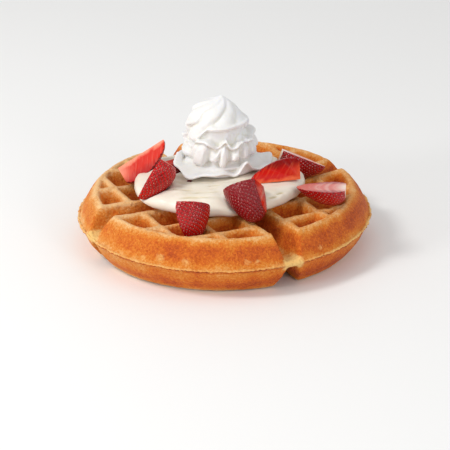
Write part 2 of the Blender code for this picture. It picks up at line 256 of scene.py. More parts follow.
def move_points(piece, points):
    piece.data.vertices.foreach_set("co", points.astype(np.float32).ravel())
    piece.data.update()


def hollowness(piece, rounds, depth):
    """1 where a point lies in a hollow as deep as this, 0 on a flat or a crest."""
    points, normals = points_of(piece), normals_of(piece)
    ends = np.empty(len(piece.data.edges) * 2, np.int64)
    piece.data.edges.foreach_get("vertices", ends)
    here, there = np.concatenate([ends.reshape(-1, 2), ends.reshape(-1, 2)[:, ::-1]]).T
    touching = np.bincount(here, minlength=len(points))[:, None]
    evened = points
    for _ in range(rounds):
        near = [np.bincount(here, evened[there, axis], len(points)) for axis in range(3)]
        evened = 0.5 * (evened + np.stack(near, axis=1) / touching)
    return np.clip(((evened - points) * normals).sum(axis=1) / depth, 0, 1)


def store(piece, name, values):
    """Keeps one number for each point of the piece, for its material to read."""
    layer = piece.data.attributes.new(name, "FLOAT", "POINT")
    layer.data.foreach_set("value", np.asarray(values, np.float32))


def roughly(points, cell, seed=0):
    """Smooth noise from about -1 to 1 at each point, whose bumps are about a cell across."""
    shift = Vector((seed * 7.31, seed * 3.17, seed * 5.73))
    return np.array([noise.noise(Vector(point) / cell + shift) for point in points])


def fade(values, start, end):
    """0 before start, 1 after end, and a soft step between them."""
    share = np.clip((values - start) / (end - start), 0, 1)
    return share * share * (3 - 2 * share)


print("helpers ready")

# %% [markdown]
# ## Helpers for materials
# A material is a small net of nodes. Each helper adds one node, joins its inputs and returns its
# output, so that a finish reads like a recipe.

# %% Helpers for materials
def new_finish(name, roughness):
    finish = bpy.data.materials.new(name)
    finish.use_nodes = True
    shader = finish.node_tree.nodes["Principled BSDF"]
    shader.inputs["Roughness"].default_value = roughness
    return finish, shader


def add_node(finish, kind, **settings):
    node = finish.node_tree.nodes.new(kind)
    for key, value in settings.items():
        setattr(node, key, value)
    return node


def join(finish, output, socket):
    finish.node_tree.links.new(output, socket)


def object_place(finish):
    return add_node(finish, "ShaderNodeTexCoord").outputs["Object"]


def stored(finish, name):
    return add_node(finish, "ShaderNodeAttribute", attribute_name=name).outputs["Fac"]


def mottle(finish, place, scale, detail=3.0, rough=0.5):
    """Noise from 0 to 1."""
    node = add_node(finish, "ShaderNodeTexNoise")
    set_inputs(node, {"Scale": scale, "Detail": detail, "Roughness": rough})
    join(finish, place, node.inputs["Vector"])
    return node.outputs["Fac"]


def maths(finish, operation, first, second):
    node = add_node(finish, "ShaderNodeMath", operation=operation)
    for socket, value in zip(node.inputs, (first, second)):
        if isinstance(value, (int, float)):
            socket.default_value = value
        else:
            join(finish, value, socket)
    return node.outputs[0]


def spread(finish, value, low, high, new_low=0.0, new_high=1.0):
    """Turns the span from low to high of a value into a new span, and holds it there."""
    node = add_node(finish, "ShaderNodeMapRange")
    set_inputs(node, {"From Min": low, "From Max": high, "To Min": new_low, "To Max": new_high})
    join(finish, value, node.inputs["Value"])
    return node.outputs["Result"]


def ramp(finish, value, stops):
    """Colours at places from 0 to 1 of a value."""
    node = add_node(finish, "ShaderNodeValToRGB")
    marks = node.color_ramp.elements
    while len(marks) < len(stops):
        marks.new(1.0)
    for mark, (place, colour) in zip(marks, stops):
        mark.position = place
        mark.color = srgb(colour)
    join(finish, value, node.inputs["Fac"])
    return node.outputs["Color"]


def blend(finish, share, first, second):
    """The first colour where share is 0, the second where it is 1."""
    node = add_node(finish, "ShaderNodeMix", data_type="RGBA")
    for socket, value in ((node.inputs[0], share), (node.inputs[6], first), (node.inputs[7], second)):
        if isinstance(value, str):
            socket.default_value = srgb(value)
        elif isinstance(value, (int, float)):
            socket.default_value = value
        else:
            join(finish, value, socket)
    return node.outputs[2]


def let_light_in(shader, weight, reach, scale):
    """Lets light into soft food; reach is a share for each of red, green and blue."""
    names = ("Subsurface Weight", "Subsurface Radius", "Subsurface Scale")
    set_inputs(shader, dict(zip(names, (weight, reach, scale))))


def relief(finish, shader, height, distance, strength):
    """Makes light fall as if the surface stood up by height times distance."""
    node = add_node(finish, "ShaderNodeBump")
    set_inputs(node, {"Distance": distance, "Strength": strength})
    join(finish, height, node.inputs["Height"])
    join(finish, node.outputs["Normal"], shader.inputs["Normal"])


print("material helpers ready")

# %% [markdown]
# ## The waffle's skin
# Batter browns most where the iron's teeth press it, in the pockets, and least where it only just
# met the iron: on the thin web in the notches and along the seam. So two numbers are kept for each
# point: how toasted it is, with painted light and shade added in, and how pale it is; the material
# turns them into colour. Fine noise breaks both up, and a low relief of small bubbles gives the dry,
# slightly pitted crust.

# %% Make the baked finish
def baked_finish():
    finish, shader = new_finish("baked_crust", 0.62)
    place = object_place(finish)
    patches = spread(finish, mottle(finish, place, 95, 4.0, 0.55), 0.30, 0.72, -0.13, 0.13)
    specks = spread(finish, mottle(finish, place, 720, 4.0, 0.8), 0.32, 0.68, -0.22, 0.22)
    # The stored number is the toast with painted light and shade added to it.
    toast_light_and_shade = maths(finish, "ADD", stored(finish, "toast_light_and_shade"), patches)
    toast_light_and_shade = maths(finish, "ADD", toast_light_and_shade, specks)
    crust = ramp(finish, toast_light_and_shade, [
        (0.00, "#F8C88C"), (0.20, "#EEA65A"), (0.38, "#E68A2A"),
        (0.58, "#DA6A14"), (0.80, "#BE4C10"), (1.00, "#963608"),
    ])
    pale_mottle = spread(finish, mottle(finish, place, 700, 3.0), 0.3, 0.7, -0.15, 0.15)
    pale = maths(finish, "ADD", stored(finish, "pale"), pale_mottle)
    pale = spread(finish, pale, 0.25, 0.85)
    colour = blend(finish, pale, crust, "#FDCF80")
    join(finish, colour, shader.inputs["Base Color"])
    grain = mottle(finish, place, 900, 5.0, 0.65)
    bubbles = add_node(finish, "ShaderNodeTexVoronoi")
    set_inputs(bubbles, {"Scale": 330})
    join(finish, place, bubbles.inputs["Vector"])
    pits = spread(finish, bubbles.outputs["Distance"], 0.05, 0.32)
    height = maths(finish, "ADD", grain, maths(finish, "MULTIPLY", pits, 0.35))
    relief(finish, shader, height, 0.0015, 1.0)
    set_inputs(shader, {"Specular IOR Level": 0.30})
    return finish


crust_finish = baked_finish()
print("finish", crust_finish.name)

# %% [markdown]
# ## The waffle
# Its solid has the lattice, the notches and the sloping rim. A copy of it is rebuilt as an even net
# and smoothed, which rounds the ridges as batter rounds them. Then each point is moved a little
# along its normal: broad, slow swells, a finer unevenness, bubbles that burst in the upper
# crust, and a seam whose fin is torn where the iron's halves met. Last, the net is thinned where it
# is plainest.

# %% The waffle's measures
SEAM_RADIUS = 0.090
SEAM_HEIGHT = 0.0169
CENTRE_TOP = 0.0297
DISH_RISE = 0.0047
LATTICE_TURN = math.radians(26.6)
NET_CELL = 0.00092
MOST_TRIANGLES = 190000
SMALL_BUBBLES = 210
BUBBLE_WIDTHS = (0.0007, 0.0016)
BUBBLE_DEPTH_SHARE = 0.55
LIP_HALF = 0.0009
LIP_STEPS = 1300
RIM_BAND = (0.0755, 0.0795)
# How dark the painted shadow under the seam's fringe is: on the crust, and on the fringe's own
# underside.
WAFFLE_SHADOW_LINE = 0.15
SEAM_SHADOW_LINE = 0.60
# Where a larger bubble burst, and its width.
LARGE_BUBBLES = (
    ((0.0688, -0.0455, 0.0342), 0.0016), ((0.0665, -0.0438, 0.0342), 0.0012),
    ((-0.0223, -0.0790, 0.0309), 0.0013), ((-0.0101, -0.0804, 0.0328), 0.0010),
    ((-0.0573, -0.0669, 0.0203), 0.0010),
)
# Where a bubble under the crust kept it from browning, and its width.
PALE_SPOTS = (
    ((-0.0377, -0.0787, 0.0216), 0.0036), ((-0.0226, -0.0843, 0.0214), 0.0030),
    ((0.0126, -0.0861, 0.0217), 0.0024), ((0.0185, -0.0855, 0.0215), 0.0020),
    ((-0.0480, -0.0745, 0.0200), 0.0026), ((0.0560, -0.0670, 0.0220), 0.0022),
)


def ridge_top(radius):
    """Height of the ridges' tops, which dish down towards the middle."""
    return CENTRE_TOP + DISH_RISE * (radius / SEAM_RADIUS) ** 2


def from_groove(points):
    """Distance of each point from the nearer of the two grooves' middles."""
    cosine, sine = math.cos(LATTICE_TURN), math.sin(LATTICE_TURN)
    along = points[:, 0] * cosine + points[:, 1] * sine
    across = points[:, 1] * cosine - points[:, 0] * sine
    return np.minimum(abs(along), abs(across))


print("ridges stand", round(ridge_top(0.03) * 1000, 1), "mm high near the middle")

# %% Rebuild the waffle and give it its unevenness
def seam_share(points):
    """1 on the fin along the seam, fading to 0 within a few millimetres of it."""
    radius = np.hypot(points[:, 0], points[:, 1])
    near = np.hypot(radius - SEAM_RADIUS, points[:, 2] - SEAM_HEIGHT)
    return 1 - fade(near, 0.0008, 0.0026)


def near_spot(points, spot, width):
    """1 at the spot, and less the further from it, by widths."""
    return np.exp(-(np.linalg.norm(points - spot, axis=1) / width) ** 2)


def burst_bubbles(points, normals):
    """Depth of small craters, scattered over the upper crust."""
    chance = random.Random(11)
    depth = np.zeros(len(points))
    open_crust = (normals[:, 2] > 0.15) & (points[:, 2] > SEAM_HEIGHT + 0.002)
    places = chance.sample(list(np.flatnonzero(open_crust)), SMALL_BUBBLES)
    spots = [(points[index], chance.uniform(*BUBBLE_WIDTHS)) for index in places]
    for spot, width in spots + list(LARGE_BUBBLES):
        depth += BUBBLE_DEPTH_SHARE * width * near_spot(points, spot, width)
    return depth


def keep_above_table(piece):
    points = points_of(piece)
    points[:, 2] = np.maximum(points[:, 2], 0.0)
    move_points(piece, points)


def make_waffle():
    shape = copy_of_node("waffle")
    piece, points, normals = soft_piece("golden_waffle", shape, crust_finish, NET_CELL, 1)
    swell = 0.00036 * roughly(points, 0.018, 1) + 0.00016 * roughly(points, 0.0060, 2)
    grain = 0.00015 * roughly(points, 0.0022, 3)
    torn = 0.00045 * roughly(points, 0.0030, 4) + 0.00020 * roughly(points, 0.0013, 5)
    torn *= seam_share(points)
    shift = swell + grain + torn - burst_bubbles(points, normals)
    move_points(piece, points + normals * shift[:, None])
    thin_out(piece, MOST_TRIANGLES)
    keep_above_table(piece)
    return piece


def torn_seam():
    """The thin lip of batter that squeezed out where the iron's halves met, torn all along."""
    shape = bmesh.new()
    upright = Matrix.Rotation(math.pi / 2, 4, "X")
    start = Matrix.Translation((SEAM_RADIUS - LIP_HALF * 0.7, 0, SEAM_HEIGHT + LIP_HALF * 0.6))
    bmesh.ops.create_circle(shape, segments=10, radius=LIP_HALF, matrix=start @ upright)
    bmesh.ops.spin(
        shape, geom=shape.verts[:] + shape.edges[:], cent=(0, 0, 0), axis=(0, 0, 1),
        angle=math.tau, steps=LIP_STEPS, use_merge=True
    )
    piece = finished("torn_seam", shape, [crust_finish])
    points = points_of(piece)
    radius = np.hypot(points[:, 0], points[:, 1])
    outer = fade(radius, SEAM_RADIUS - LIP_HALF * 1.4, SEAM_RADIUS + LIP_HALF * 0.3)
    ragged = 0.0005 * roughly(points, 0.0040, 7) + 0.0005 * roughly(points, 0.0014, 8)
    points[:, :2] *= (1 + ragged * outer / radius)[:, None]
    points[:, 2] += 0.0005 * roughly(points, 0.0050, 9) + 0.0005 * roughly(points, 0.0013, 10)
    move_points(piece, points)
    return piece


waffle = make_waffle()
seam = torn_seam()
print("waffle", len(waffle.data.polygons), "faces, seam", len(seam.data.polygons))

# %% [markdown]
# Now the browning, with painted light and shade in it. The ridges stay light, partly baked lighter
# and partly as a painted highlight; the walls darken towards the floors of the pockets, and the
# floors are painted lighter, as painted light; the left side is painted paler and the right a little
# browner, as painted light from the left; the outer wall darkens downwards, and the web between the
# quarters and the fringe of the seam stay pale. Under the fringe runs a fine dark line of painted
# shadow, where the fringe shades the crust.

# %% Brown the waffle
def crust_parts(points, normals):
    """For each point, from 0 to 1, how far it belongs to each part of the crust."""
    height = points[:, 2]
    radius = np.hypot(points[:, 0], points[:, 1])
    inside = 1 - fade(radius, *RIM_BAND)
    sunk = np.where(height > SEAM_HEIGHT, ridge_top(radius) - height, height)
    pocket = inside * fade(sunk, 0.0010, 0.0060)
    return SimpleNamespace(
        crest=1 - fade(sunk, 0.0002, 0.0022),
        pocket=pocket,
        floor=inside * pocket * fade(normals[:, 2], 0.8, 1.0),
        wall=(1 - inside) * fade(sunk, 0.0008, 0.0060),
        upper=height > SEAM_HEIGHT,
        near_seam=1 - fade(height - SEAM_HEIGHT, 0.0, 0.0075),
        below_seam=fade(SEAM_HEIGHT - height, 0.0005, 0.016),
        under_fringe=fade(-normals[:, 2], -0.1, 0.4) * seam_share(points),
    )


def toast_light_and_shade_at(points, part, shadow_line):
    """How brown each point is baked, with painted light and shade added; the last argument sets how
    dark the painted shadow under the fringe is.
    """
    east = points[:, 0]
    upper_wall = 0.31 - 0.34 * part.near_seam
    lower_wall = 0.05 + 0.42 * part.below_seam
    # Painted light: crests are lighter, partly baked lighter and partly a painted highlight, and the
    # pocket floors are painted lighter, as if more light reached them.
    toast_light_and_shade = 0.34 - 0.20 * part.crest + 0.25 * part.pocket - 0.24 * part.floor
    toast_light_and_shade += part.wall * np.where(part.upper, upper_wall, lower_wall)
    # Painted light: the left side is painted paler and the right side a little browner, as the light
    # falls from the left.
    toast_light_and_shade += 0.06 * fade(east, -0.02, 0.09) - 0.20 * fade(-east, 0.03, 0.09)
    toast_light_and_shade += 0.09 * roughly(points, 0.014, 6)
    # Painted shadow: points under the fringe are darkened, on the crust and on the fringe itself.
    toast_light_and_shade += shadow_line * part.under_fringe
    return np.clip(toast_light_and_shade, 0.02, 1)


def paleness(points, part):
    """How pale each point stayed: on the web, on the fringe, in blotches and over bubbles."""
    radius = np.hypot(points[:, 0], points[:, 1])
    web = (1 - fade(from_groove(points), 0.0045, 0.0090)) * fade(radius, 0.074, 0.085)
    web *= 1 - fade(abs(points[:, 2] - SEAM_HEIGHT), 0.0025, 0.0045)
    blotch = part.wall * part.upper * part.near_seam * fade(roughly(points, 0.010, 12), 0.30, 0.55)
    fringe = 0.50 + 0.35 * fade(points[:, 0], 0.04, 0.08)
    fringe *= seam_share(points) * (1 - part.under_fringe)
    spots = sum(near_spot(points, spot, width) for spot, width in PALE_SPOTS)
    return np.clip(np.maximum.reduce([0.85 * web, fringe, 0.45 * blotch, 0.55 * spots]), 0, 1)


# Stores for each point its toast with painted light and shade added, and how pale it is.
def brown_and_shade(piece, shadow_line):
    points = points_of(piece)
    part = crust_parts(points, normals_of(piece))
    store(piece, "toast_light_and_shade", toast_light_and_shade_at(points, part, shadow_line))
    store(piece, "pale", paleness(points, part))


for piece, shadow_line in ((waffle, WAFFLE_SHADOW_LINE), (seam, SEAM_SHADOW_LINE)):
    brown_and_shade(piece, shadow_line)
    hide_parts("waffle")
    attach(piece, "root")
print("waffle browned")

# %% [markdown]
# ## Cream and whipped cream
# Both are white but never grey: light goes a little way into them and comes back warm. The pool is
# yellower and shinier than the aerated swirl, and both are painted a darker, yellower white in their
# hollows: painted shade, warmed as light bounced from cream to cream would warm it.

# %% Make the two cream finishes
def cream_finish(name, light, warm, hollow, roughness, grain_height):
    """Cream in patches of a light and a warm white, painted a darker, yellower white in the hollows as
    painted shade.
    """
    finish, shader = new_finish(name, roughness)
    place = object_place(finish)
    broad = spread(finish, mottle(finish, place, 60, 3.0), 0.35, 0.70)
    colour = blend(finish, broad, light, warm)
    # Painted shade: the hollows are blended to a darker, yellower white.
    colour = blend(finish, stored(finish, "hollow"), colour, hollow)
    join(finish, colour, shader.inputs["Base Color"])
    set_inputs(shader, {"Specular IOR Level": 0.4})
    let_light_in(shader, 0.25, (1.0, 0.85, 0.65), 0.0014)
    relief(finish, shader, mottle(finish, place, 700, 4.0), grain_height, 0.6)
    return finish


pool_finish = cream_finish("soft_cream", "#EBE4D6", "#E2D8C5", "#D2C4A0", 0.32, 0.00025)
whipped_finish = cream_finish("whipped_white", "#E8E8E9", "#E4E3DF", "#DAD6C2", 0.42, 0.0002)
print("finishes", pool_finish.name, whipped_finish.name)

# %% [markdown]
# ## The pool of cream
# The pool's solid has the outline and the beds of the berries. Rebuilt and smoothed, it gets slow
# lumps, faint rings and the short marks that a spoon leaves.

# %% Shape the pool
POOL_CENTRE = Vector((-0.0042, -0.0010))
POOL_CELL = 0.0009
SPOON_DEPTH = 0.0013
SPOON_WIDTH = 0.0008
SPOON_RIDGE = 0.0006
# Each mark that the spoon left: east, north, half length and turn.
SPOON_MARKS = (
    (-0.0060, -0.0245, 0.0030, 0.10), (-0.0290, -0.0290, 0.0065, -0.12),
    (-0.0120, -0.0330, 0.0050, 0.05), (0.0300, -0.0340, 0.0040, 0.55),
    (0.0330, -0.0300, 0.0030, 0.70), (-0.0180, -0.0390, 0.0070, -0.05),
)


def spoon_marks(points):
    """Height of the short marks that the spoon left, each with a low ridge beside it."""
    x, y = points.T[:2]
    height = np.zeros(len(points))
    for east, north, length, turn in SPOON_MARKS:
        along = (x - east) * math.cos(turn) + (y - north) * math.sin(turn)
        across = (y - north) * math.cos(turn) - (x - east) * math.sin(turn)
        height -= SPOON_DEPTH * np.exp(-(along / length) ** 2 - (across / SPOON_WIDTH) ** 2)
        height += SPOON_RIDGE * np.exp(-(along / length) ** 2 - ((across + 0.0018) / 0.0010) ** 2)
    return height


def make_pool():
    shape = copy_of_node("cream")
    piece, points, normals = soft_piece("cream_pool", shape, pool_finish, POOL_CELL, 6)
    east = points[:, 0] + 0.010 * roughly(points, 0.03, 21)
    north = points[:, 1] + 0.010 * roughly(points, 0.03, 22)
    rings = np.sin(np.hypot(east + 0.004, north * 1.5 - 0.012) / 0.0016)
    up = fade(normals[:, 2], 0.2, 0.8)
    waves = 0.00022 * rings * fade(roughly(points, 0.02, 23), -0.2, 0.4)
    lumps = 0.00080 * roughly(points, 0.012, 24) + 0.00025 * roughly(points, 0.005, 25)
    shift = lumps + up * (waves + spoon_marks(points))
    move_points(piece, points + normals * shift[:, None])
    # Painted shade in the pool's hollows.
    store(piece, "hollow", hollowness(piece, 12, 0.00035))
    return piece


pool = make_pool()
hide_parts("cream")
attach(pool, "root")
print("pool", len(pool.data.polygons), "squares")

# %% [markdown]
# ## The whipped swirl
# A piped swirl is a rope with a star-shaped section, laid round and round and buckled into folds.
# Here one closed ball of points is moved onto it: each bearing has its own outline of stations,
# from the foot to the tip. Low down they make a skirt with a curled edge, above it a row of blunt
# fingers, some shorter than others, then a thin wavy brim, a recess with one rough torn spot, and on
# top the folded petals that twist up to the tip.

# %% The swirl's measures and waves
SWIRL_CENTRE = Vector((-0.0025, 0.0100))
SWIRL_TOP = 0.0890
SWIRL_LEAN = 0.0020
SWIRL_TURN = math.radians(130)
SWIRL_FOOT_SHARE = 3 / 32
SWIRL_BED = 0.006
SWIRL_SIDEWAYS = 0.0034
SWIRL_CELL = 0.00052
SWIRL_FACES = (320, 210)
# The pool beneath it: its outline, its thickness and its rounded edge.
CREAM_HALF_X = 0.0524
CREAM_FRONT = 0.0470
CREAM_BACK = 0.0415
CREAM_SQUARENESS = 2.3
CREAM_THICK = 0.0140
CREAM_BELLY = 0.0050
CREAM_EDGE = 0.62
GAP = 0.0003
# Bearings of the fingers in degrees, and of those that end early.
FINGER_WIDTH = 5.5
FINGERS = (-129, -122, -100, -86, -67, -49, -30, -12, 8, 27, 45, 66, 84, 103, 120, 138)
SHORT_FINGERS = (-100, -67, -49, -30, 8, 45, 66, 103)
PETAL_OVERLAP = 0.7
PETAL_STEP = 0.16
TORN_SPOT = (0.0137, -0.0030, 0.0668)
TORN_WIDTH = 0.0085
# Each petal: the bearing where it starts, the height that its hem hangs to, and its swell.
PETALS = (
    (15, 0.0280, 0.7), (60, 0.0262, 1.0), (110, 0.0252, 1.0), (172, 0.0206, 1.2),
    (218, 0.0290, 1.0), (268, 0.0296, 0.5), (318, 0.0272, 0.7),
)


def pool_reach(bearing):
    """Distance from the pool's middle to its edge."""
    across = abs(math.cos(bearing) / CREAM_HALF_X) ** CREAM_SQUARENESS
    deep = abs(math.sin(bearing) / (CREAM_BACK if bearing > 0 else CREAM_FRONT)) ** CREAM_SQUARENESS
    plain = (across + deep) ** (-1 / CREAM_SQUARENESS)
    return plain * (1 + 0.022 * math.sin(3 * bearing + 0.6) + 0.014 * math.sin(5 * bearing + 2.2))


def pool_top(x, y):
    """Height of the pool's upper skin."""
    east, north = x - POOL_CENTRE.x, y - POOL_CENTRE.y
    share = min(1.0, math.hypot(east, north) / pool_reach(math.atan2(north, east)))
    slope = math.asin(share ** (1 / CREAM_EDGE))
    rise = CREAM_BELLY + (CREAM_THICK - CREAM_BELLY) * math.cos(slope) ** 0.75
    return ridge_top(math.hypot(x, y)) + GAP * 1.5 + rise


def bulge(bearing, middle, width):
    """1 at one bearing, given in degrees, and less the further round from it, by widths."""
    away = (math.degrees(bearing) - middle + 180) % 360 - 180
    return math.exp(-(away / width) ** 2)


def finger(bearing):
    """From -1 between fingers to 1 along the blunt middle of one, and how much it is shortened."""
    nearest = max(bulge(bearing, middle, FINGER_WIDTH) for middle in FINGERS)
    shortened = max(bulge(bearing, middle, FINGER_WIDTH) for middle in SHORT_FINGERS)
    return 2 * min(1.0, 1.5 * nearest) ** 0.8 - 1, min(1.0, 1.5 * shortened)


def petal(bearing):
    """The height that the petal at this bearing hangs down to, and its swell from -1 to 1.

    Each petal swells quickly from its first crease and ends a little proud of the next one.
    """
    degrees = math.degrees(bearing) % 360
    number = sum(fold[0] <= degrees for fold in PETALS) - 1
    start, hang, depth = PETALS[number]
    after_start, after_hang, _ = PETALS[(number + 1) % len(PETALS)]
    share = (degrees - start) % 360 / ((after_start - start) % 360)
    swell = 2 * math.sin(math.pi * share) ** 0.5 - 1 + PETAL_OVERLAP * (share - 0.5)
    step = min(1.0, (1 - share) / PETAL_STEP)
    hang = after_hang + (hang - after_hang) * step * step * (3 - 2 * step)
    return hang, 0.4 + depth * (swell - 0.4)


SWIRL_BASE = pool_top(*SWIRL_CENTRE)
print(len(PETALS), "petals and", len(FINGERS), "fingers")

# %% The swirl's outline, as (radius, height) from its foot to its tip
def plain_side(bearing):
    """1 on the left, where the fingers run together."""
    return bulge(bearing, -172, 34)


def faint_side(bearing):
    """Most on the right, where the brim dies out."""
    return 0.8 * bulge(bearing, -20, 34)


def brim_height(bearing, hang):
    """Height of the wavy brim, which stays below the petals' hems."""
    brim = 0.0202 + 0.0008 * math.sin(4 * bearing) + 0.0024 * bulge(bearing, -126, 12)
    brim += 0.0020 * bulge(bearing, -92, 5) - 0.0014 * bulge(bearing, -102, 6)
    brim -= 0.0034 * bulge(bearing, -74, 9)
    return min(brim, hang - 0.0040)


def skirt_stations(bearing):
    """The foot and the spread skirt, whose edge curls up most in front and on the left."""
    edge = 0.0296 + 0.0034 * math.cos(3 * bearing + 0.52) + 0.0007 * math.sin(11 * bearing)
    curl = 0.0018 + 0.0011 * math.sin(7 * bearing + 0.9) + 0.0007 * math.sin(12 * bearing)
    curl += 0.0046 * bulge(bearing, -54, 7) + 0.0062 * bulge(bearing, 188, 18)
    return [
        (0.0240, 0.0000),
        (edge - 0.0030, 0.0002 + 0.8 * curl),
        (edge - 0.0006, 0.0003 + curl),
        (edge, 0.0010 + curl),
        (edge - 0.0010, 0.0018 + curl),
        (edge - 0.0046, 0.0028 + 0.6 * curl),
        (0.0232, 0.0052),
        (0.0196, 0.0066),
    ]


def finger_stations(bearing, brim):
    """The row of fingers, from their lower ends up to the hollow beneath the brim."""
    plain = plain_side(bearing)
    curtain, short = finger(bearing)
    curtain *= 1 - 0.8 * max(plain, bulge(bearing, -14, 18))
    lift = 0.0036 * short * (1 - plain)
    return [
        (0.0190 + 0.0008 * curtain, 0.0076 - 0.0006 * curtain + 0.8 * lift),
        (0.0210 + 0.0020 * curtain, 0.0078 - 0.0014 * curtain + lift),
        (0.0222 + 0.0024 * curtain + 0.0012 * plain, 0.0094 - 0.0012 * curtain + 0.8 * lift),
        (0.0222 + 0.0022 * curtain + 0.0014 * plain, 0.0120 + 0.4 * lift),
        (0.0212 + 0.0016 * curtain + 0.0012 * plain, brim - 0.0044),
        (0.0192 + 0.0006 * curtain + 0.0018 * faint_side(bearing), brim - 0.0022),
    ]


def brim_stations(bearing, brim):
    """The thin wavy brim and the floor of the recess above it."""
    faint = faint_side(bearing)
    flare = 0.0007 * math.sin(9 * bearing + 1.0) + 0.0008 * math.sin(5 * bearing)
    flare -= 0.0018 * plain_side(bearing)
    return [
        (0.0200 + flare + 0.0012 * faint, brim - 0.0015),
        (0.0222 + flare - 0.0006 * faint, brim - 0.0010),
        (0.0224 + flare, brim),
        (0.0204 + flare, brim + 0.0005),
        (0.0172, brim + 0.0012),
    ]


def petal_stations(hang, swell):
    """The folded petals, from their hems up to the tip."""
    return [
        (0.0160, hang - 0.0020),
        (0.0176 + 0.0004 * swell, hang - 0.0016),
        (0.0190 + 0.0007 * swell, hang - 0.0004),
        (0.0190 + 0.0010 * swell, hang + 0.0012),
        (0.0168 + 0.0013 * swell, 0.5 * hang + 0.0166),
        (0.0146 + 0.0013 * swell, 0.0340),
        (0.0122 + 0.0013 * swell, 0.0370),
        (0.0092 + 0.0011 * swell, 0.0397),
        (0.0058 + 0.0009 * swell, 0.0418),
        (0.0026 + 0.0004 * swell, 0.0434),
        (0.0007, 0.0442),
    ]


@functools.lru_cache(maxsize=None)
def swirl_stations(bearing):
    hang, swell = petal(bearing)
    brim = brim_height(bearing, hang)
    below_brim = skirt_stations(bearing) + finger_stations(bearing, brim)
    return below_brim + brim_stations(bearing, brim) + petal_stations(hang, swell)


print(len(swirl_stations(0.0)), "stations at each bearing")

# %% Shape the swirl
def between(before, start, end, after, part):
    """A smooth curve through stations, at a part of the way from start to end."""
    bend = 2 * before - 5 * start + 4 * end - after
    twist = 3 * (start - end) + after - before
    return start + 0.5 * part * (end - before + part * (bend + part * twist))


def weave(bearing, rise):
    """Extra turn, which bends one crease between two petals into an S."""
    started = min(1.0, max(0.0, rise - 0.55) / 0.07)
    wave = math.sin((0.77 - rise) * math.tau / 0.30)
    return math.radians(11) * bulge(bearing, 165, 22) * wave * started


def swirl_surface(bearing, slope):
    """A point of the swirl's skin: slope runs from 0 at the tip to pi under the foot."""
    stations = swirl_stations(round(bearing, 5))
    share = 1 - slope / math.pi
    radius, lift = stations[0]
    if share < SWIRL_FOOT_SHARE:
        radius *= share / SWIRL_FOOT_SHARE
    else:
        last = len(stations) - 1
        position = (share - SWIRL_FOOT_SHARE) / (1 - SWIRL_FOOT_SHARE) * last
        step = min(int(position), last - 1)
        near = [stations[min(max(step + offset, 0), last)] for offset in (-1, 0, 1, 2)]
        radius = between(*[station[0] for station in near], position - step)
        lift = between(*[station[1] for station in near], position - step)
    if slope < 0.0001:
        radius, lift = 0.0, SWIRL_TOP - SWIRL_BASE
    rise = lift / (SWIRL_TOP - SWIRL_BASE)
    turn = bearing + SWIRL_TURN * rise ** 3 + weave(bearing, rise)
    sideways = SWIRL_LEAN * rise ** 3 - SWIRL_SIDEWAYS * math.sin(math.pi * min(1.0, rise) ** 4)
    x = SWIRL_CENTRE.x + sideways + radius * math.cos(turn)
    y = SWIRL_CENTRE.y + radius * math.sin(turn)
    bedded = max(0.0, 1 - lift / SWIRL_BED)
    foot = pool_top(x, y) * bedded + SWIRL_BASE * (1 - bedded)
    return Vector((x, y, foot + GAP * 2 + lift))


def shaped_ball(place, faces):
    """A ball of so many faces around and down, whose points are moved to place(bearing, slope)."""
    shape = bmesh.new()
    bmesh.ops.create_uvsphere(shape, u_segments=faces[0], v_segments=faces[1], radius=1.0)
    for point in shape.verts:
        slope = math.acos(max(-1.0, min(1.0, point.co.z)))
        point.co = place(math.atan2(point.co.y, point.co.x), slope)
    return shape


def make_swirl():
    shape = shaped_ball(swirl_surface, SWIRL_FACES)
    piece, points, normals = soft_piece("whipped_swirl", shape, whipped_finish, SWIRL_CELL, 1)
    lumps = 0.00036 * roughly(points, 0.0065, 31) + 0.00012 * roughly(points, 0.0024, 32)
    torn = 0.0011 * roughly(points, 0.0024, 33) + 0.0005 * roughly(points, 0.0012, 34)
    lumps += near_spot(points, TORN_SPOT, TORN_WIDTH) * torn
    move_points(piece, points + normals * lumps[:, None])
    # Painted shade in the swirl's hollows.
    store(piece, "hollow", hollowness(piece, 30, 0.0009))
    return piece


swirl = make_swirl()
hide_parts("whipped_cream")
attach(swirl, "root")
print("swirl", len(swirl.data.polygons), "squares")

# %% [markdown]
# ## Strawberry skin, seeds and flesh
# The skin is a deep glossy red, painted darker in the dimple round each seed as painted shade, and
# darker on a riper berry, whose seeds are duller too. A cut face shows the berry's inside: a pale
# core along the middle and pale streaks that run out from it to the seeds. The pattern needs each
# point's place in its own berry, so that is kept as an attribute.

# %% Make the strawberry finishes
def skin_finish():
    finish, shader = new_finish("berry_skin", 0.34)
    place = object_place(finish)
    tone = spread(finish, mottle(finish, place, 130, 3.0), 0.3, 0.7)
    red = blend(finish, tone, "#F01408", "#C40408")
    red = blend(finish, stored(finish, "ripeness"), red, "#780214")
    # Painted shade: the skin is darkest in the dimple round each seed.
    red = blend(finish, stored(finish, "dimple"), red, "#560105")
    join(finish, red, shader.inputs["Base Color"])
    set_inputs(shader, {"Specular IOR Level": 0.02, "Coat Weight": 0.85, "Coat Roughness": 0.06})
    let_light_in(shader, 0.15, (1.0, 0.15, 0.08), 0.002)
    relief(finish, shader, mottle(finish, place, 500, 3.0), 0.0002, 0.6)
    return finish


def seed_finish():
    finish, shader = new_finish("berry_seed", 0.35)
    place = object_place(finish)
    tone = spread(finish, mottle(finish, place, 300, 2.0), 0.38, 0.62)
    colour = blend(finish, tone, "#F0A08C", "#B83A30")
    faded = maths(finish, "MULTIPLY", stored(finish, "ripeness"), 0.8)
    colour = blend(finish, faded, colour, "#A03038")
    join(finish, colour, shader.inputs["Base Color"])
    return finish


def product(finish, first, second):
    return maths(finish, "MULTIPLY", first, second)


